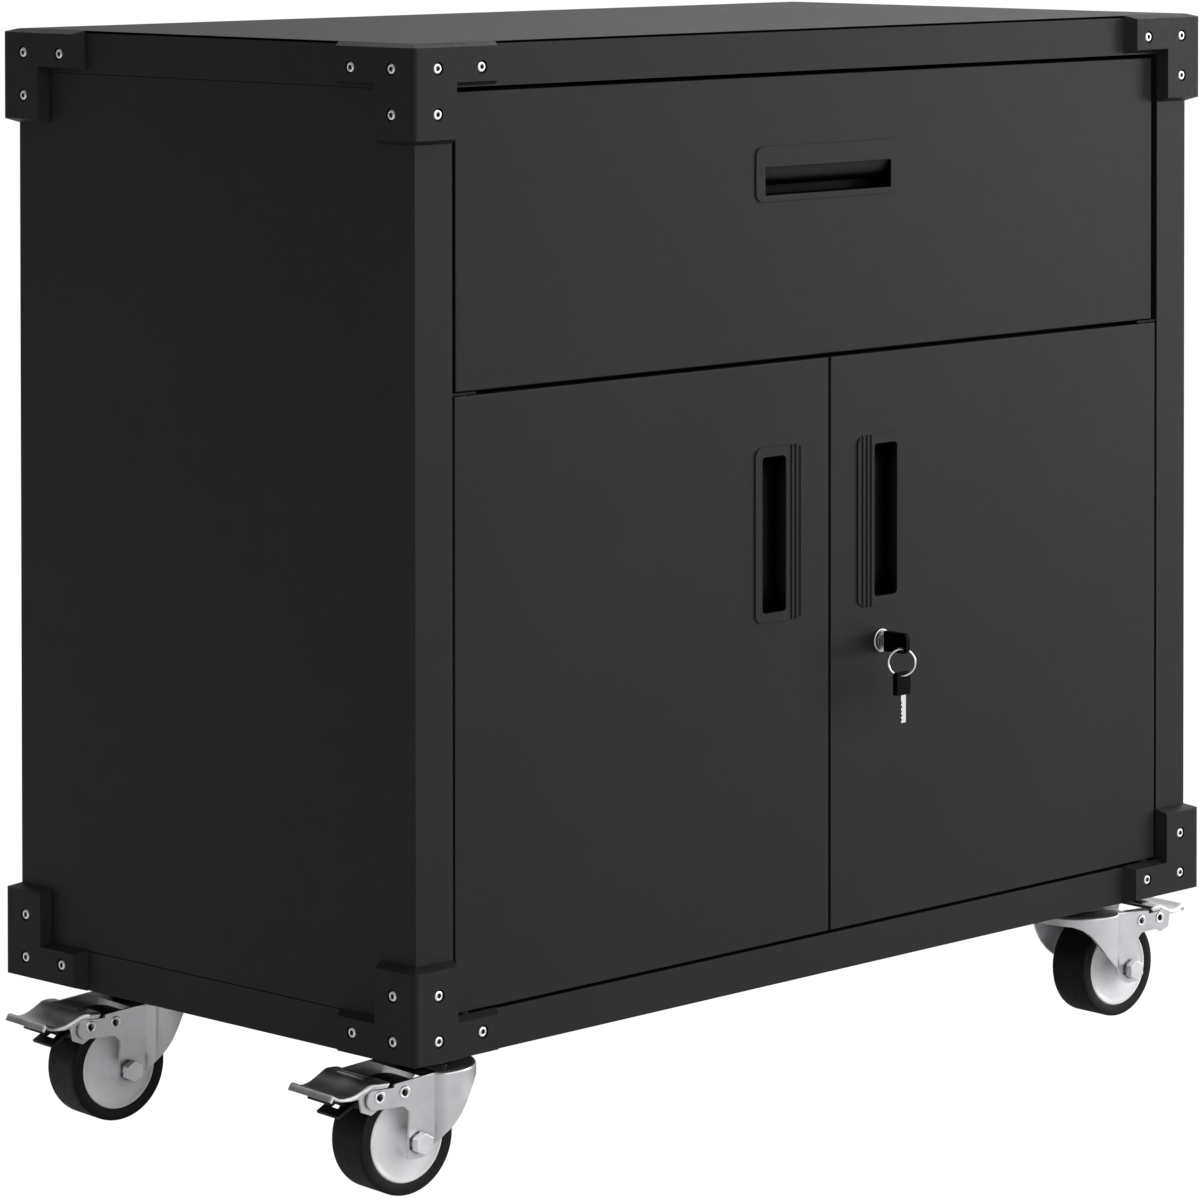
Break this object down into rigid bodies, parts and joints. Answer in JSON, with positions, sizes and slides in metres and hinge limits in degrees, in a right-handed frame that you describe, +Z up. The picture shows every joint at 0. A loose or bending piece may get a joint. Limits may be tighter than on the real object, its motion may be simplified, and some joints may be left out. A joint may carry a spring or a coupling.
{
  "type": "rolling pedestal cabinet",
  "caption": "Wide low rolling cabinet of black sheet steel with a full-width drawer above a pair of lockable doors, bolted corner guards and braked swivel casters.",
  "frame": {"origin": "on the floor under the middle of the cabinet's frame, between the four casters", "axes": "+X to the cabinet's right as seen from the front, +Y to the back, +Z up; the drawer and doors face -Y"},
  "size_m": [0.8576, 0.4354, 0.752],
  "materials": {
    "black_powder_coat": "satin black powder coat, fine orange peel",
    "door_powder_coat": "satin black powder coat, fine orange peel",
    "black_moulding": "black, matt moulded",
    "pull_plastic": "black, fine texture",
    "catch_plastic": "black",
    "black_screw": "black",
    "bright_screw": "bright zinc plate",
    "zinc_steel": "satin zinc plate",
    "black_steel": "black",
    "lock_chrome": "satin chrome",
    "key_steel": "nickel plate",
    "key_plastic": "black",
    "hub_plastic": "light grey polypropylene",
    "tyre_rubber": "black polyurethane"
  },
  "bodies": {
    "cabinet": {"top_panel": "black_powder_coat", "bottom_panel": "black_powder_coat", "left_side_panel": "black_powder_coat", "right_side_panel": "black_powder_coat", "back_panel": "black_powder_coat", "panel_screws": "black_screw", "divider_rail": "black_powder_coat", "shelf": "black_powder_coat", "shelf_clips": "zinc_steel", "corner_guards": "black_moulding", "guard_screws": "bright_screw", "slide_brackets": "black_powder_coat", "slide_outer_members": "zinc_steel", "door_hinge_pins": "black_steel", "magnetic_catches": "catch_plastic", "caster_stems": "zinc_steel"},
    "drawer": {"drawer_front": "door_powder_coat", "drawer_box": "black_powder_coat", "drawer_pull": "pull_plastic", "slide_inner_members": "zinc_steel"},
    "slide_middle": {"slide_middle_members": "zinc_steel"},
    "left_door": {"left_door_skin": "door_powder_coat", "left_door_liner": "black_powder_coat", "left_door_pull": "pull_plastic"},
    "right_door": {"right_door_skin": "door_powder_coat", "right_door_liner": "black_powder_coat", "right_door_pull": "pull_plastic", "lock_housing": "lock_chrome", "lock_nut": "zinc_steel"},
    "lock": {"lock_plug": "lock_chrome", "lock_cam": "zinc_steel", "key_blade": "key_steel", "key_head": "key_plastic"},
    "key_ring": {"key_ring": "key_steel"},
    "spare_key": {"spare_key_blade": "key_steel", "spare_key_head": "key_plastic"},
    "front_left_swivel": {"front_left_fork": "zinc_steel", "front_left_fork_fasteners": "bright_screw"},
    "front_left_wheel": {"front_left_wheel_hub": "hub_plastic", "front_left_tyre": "tyre_rubber"},
    "front_left_brake": {"front_left_brake_pedal": "zinc_steel", "front_left_brake_shoe": "black_steel"},
    "front_right_swivel": {"front_right_fork": "zinc_steel", "front_right_fork_fasteners": "bright_screw"},
    "front_right_wheel": {"front_right_wheel_hub": "hub_plastic", "front_right_tyre": "tyre_rubber"},
    "front_right_brake": {"front_right_brake_pedal": "zinc_steel", "front_right_brake_shoe": "black_steel"},
    "rear_left_swivel": {"rear_left_fork": "zinc_steel", "rear_left_fork_fasteners": "bright_screw"},
    "rear_left_wheel": {"rear_left_wheel_hub": "hub_plastic", "rear_left_tyre": "tyre_rubber"},
    "rear_left_brake": {"rear_left_brake_pedal": "zinc_steel", "rear_left_brake_shoe": "black_steel"},
    "rear_right_swivel": {"rear_right_fork": "zinc_steel", "rear_right_fork_fasteners": "bright_screw"},
    "rear_right_wheel": {"rear_right_wheel_hub": "hub_plastic", "rear_right_tyre": "tyre_rubber"},
    "rear_right_brake": {"rear_right_brake_pedal": "zinc_steel", "rear_right_brake_shoe": "black_steel"}
  },
  "joints": [
    {"name": "drawer_slide", "type": "slide", "parent": "cabinet", "child": "drawer", "axis": [0, -1, 0], "range_m": [0, 0.3]},
    {"name": "slide_middle_travel", "type": "slide", "parent": "cabinet", "child": "slide_middle", "axis": [0, -1, 0], "range_m": [0, 0.15]},
    {"name": "left_door_hinge", "type": "hinge", "parent": "cabinet", "child": "left_door", "pos_m": [-0.3469, -0.195, 0.325], "axis": [0, 0, -1], "range_deg": [0, 110]},
    {"name": "right_door_hinge", "type": "hinge", "parent": "cabinet", "child": "right_door", "pos_m": [0.3469, -0.195, 0.325], "axis": [0, 0, 1], "range_deg": [0, 110]},
    {"name": "lock_turn", "type": "hinge", "parent": "right_door", "child": "lock", "pos_m": [0.0527, -0.2, 0.3206], "axis": [0, 1, 0], "range_deg": [0, 90]},
    {"name": "key_ring_swing", "type": "hinge", "parent": "lock", "child": "key_ring", "pos_m": [0.0527, -0.22, 0.3164], "axis": [0.7071, -0.7071, 0], "range_deg": [-12, 12]},
    {"name": "spare_key_swing", "type": "hinge", "parent": "key_ring", "child": "spare_key", "pos_m": [0.0527, -0.22, 0.2976], "axis": [0.7071, -0.7071, 0], "range_deg": [-12, 12]},
    {"name": "front_left_swivel_turn", "type": "hinge", "parent": "cabinet", "child": "front_left_swivel", "pos_m": [-0.335, -0.1456, 0.085], "axis": [0, 0, 1], "continuous": true},
    {"name": "front_left_wheel_spin", "type": "hinge", "parent": "front_left_swivel", "child": "front_left_wheel", "pos_m": [-0.35984, -0.14277, 0.0372], "axis": [-0.1132, -0.9936, 0], "continuous": true},
    {"name": "front_left_brake_press", "type": "hinge", "parent": "front_left_swivel", "child": "front_left_brake", "pos_m": [-0.39114, -0.1392, 0.0713], "axis": [-0.1132, -0.9936, 0], "range_deg": [0, 12]},
    {"name": "front_right_swivel_turn", "type": "hinge", "parent": "cabinet", "child": "front_right_swivel", "pos_m": [0.335, -0.1456, 0.085], "axis": [0, 0, 1], "continuous": true},
    {"name": "front_right_wheel_spin", "type": "hinge", "parent": "front_right_swivel", "child": "front_right_wheel", "pos_m": [0.35994, -0.14734, 0.0372], "axis": [0.0698, 0.9976, 0], "continuous": true},
    {"name": "front_right_brake_press", "type": "hinge", "parent": "front_right_swivel", "child": "front_right_brake", "pos_m": [0.39136, -0.14954, 0.0713], "axis": [0.0698, 0.9976, 0], "range_deg": [0, 12]},
    {"name": "rear_left_swivel_turn", "type": "hinge", "parent": "cabinet", "child": "rear_left_swivel", "pos_m": [-0.335, 0.1456, 0.085], "axis": [0, 0, 1], "continuous": true},
    {"name": "rear_left_wheel_spin", "type": "hinge", "parent": "rear_left_swivel", "child": "rear_left_wheel", "pos_m": [-0.35984, 0.14843, 0.0372], "axis": [-0.1132, -0.9936, 0], "continuous": true},
    {"name": "rear_left_brake_press", "type": "hinge", "parent": "rear_left_swivel", "child": "rear_left_brake", "pos_m": [-0.39114, 0.152, 0.0713], "axis": [-0.1132, -0.9936, 0], "range_deg": [0, 12]},
    {"name": "rear_right_swivel_turn", "type": "hinge", "parent": "cabinet", "child": "rear_right_swivel", "pos_m": [0.335, 0.1456, 0.085], "axis": [0, 0, 1], "continuous": true},
    {"name": "rear_right_wheel_spin", "type": "hinge", "parent": "rear_right_swivel", "child": "rear_right_wheel", "pos_m": [0.35994, 0.14386, 0.0372], "axis": [0.0698, 0.9976, 0], "continuous": true},
    {"name": "rear_right_brake_press", "type": "hinge", "parent": "rear_right_swivel", "child": "rear_right_brake", "pos_m": [0.39136, 0.14166, 0.0713], "axis": [0.0698, 0.9976, 0], "range_deg": [0, 12]}
  ],
  "couplings": [
    {"joint": "slide_middle_travel", "follows": "drawer_slide", "ratio": 0.5}
  ]
}
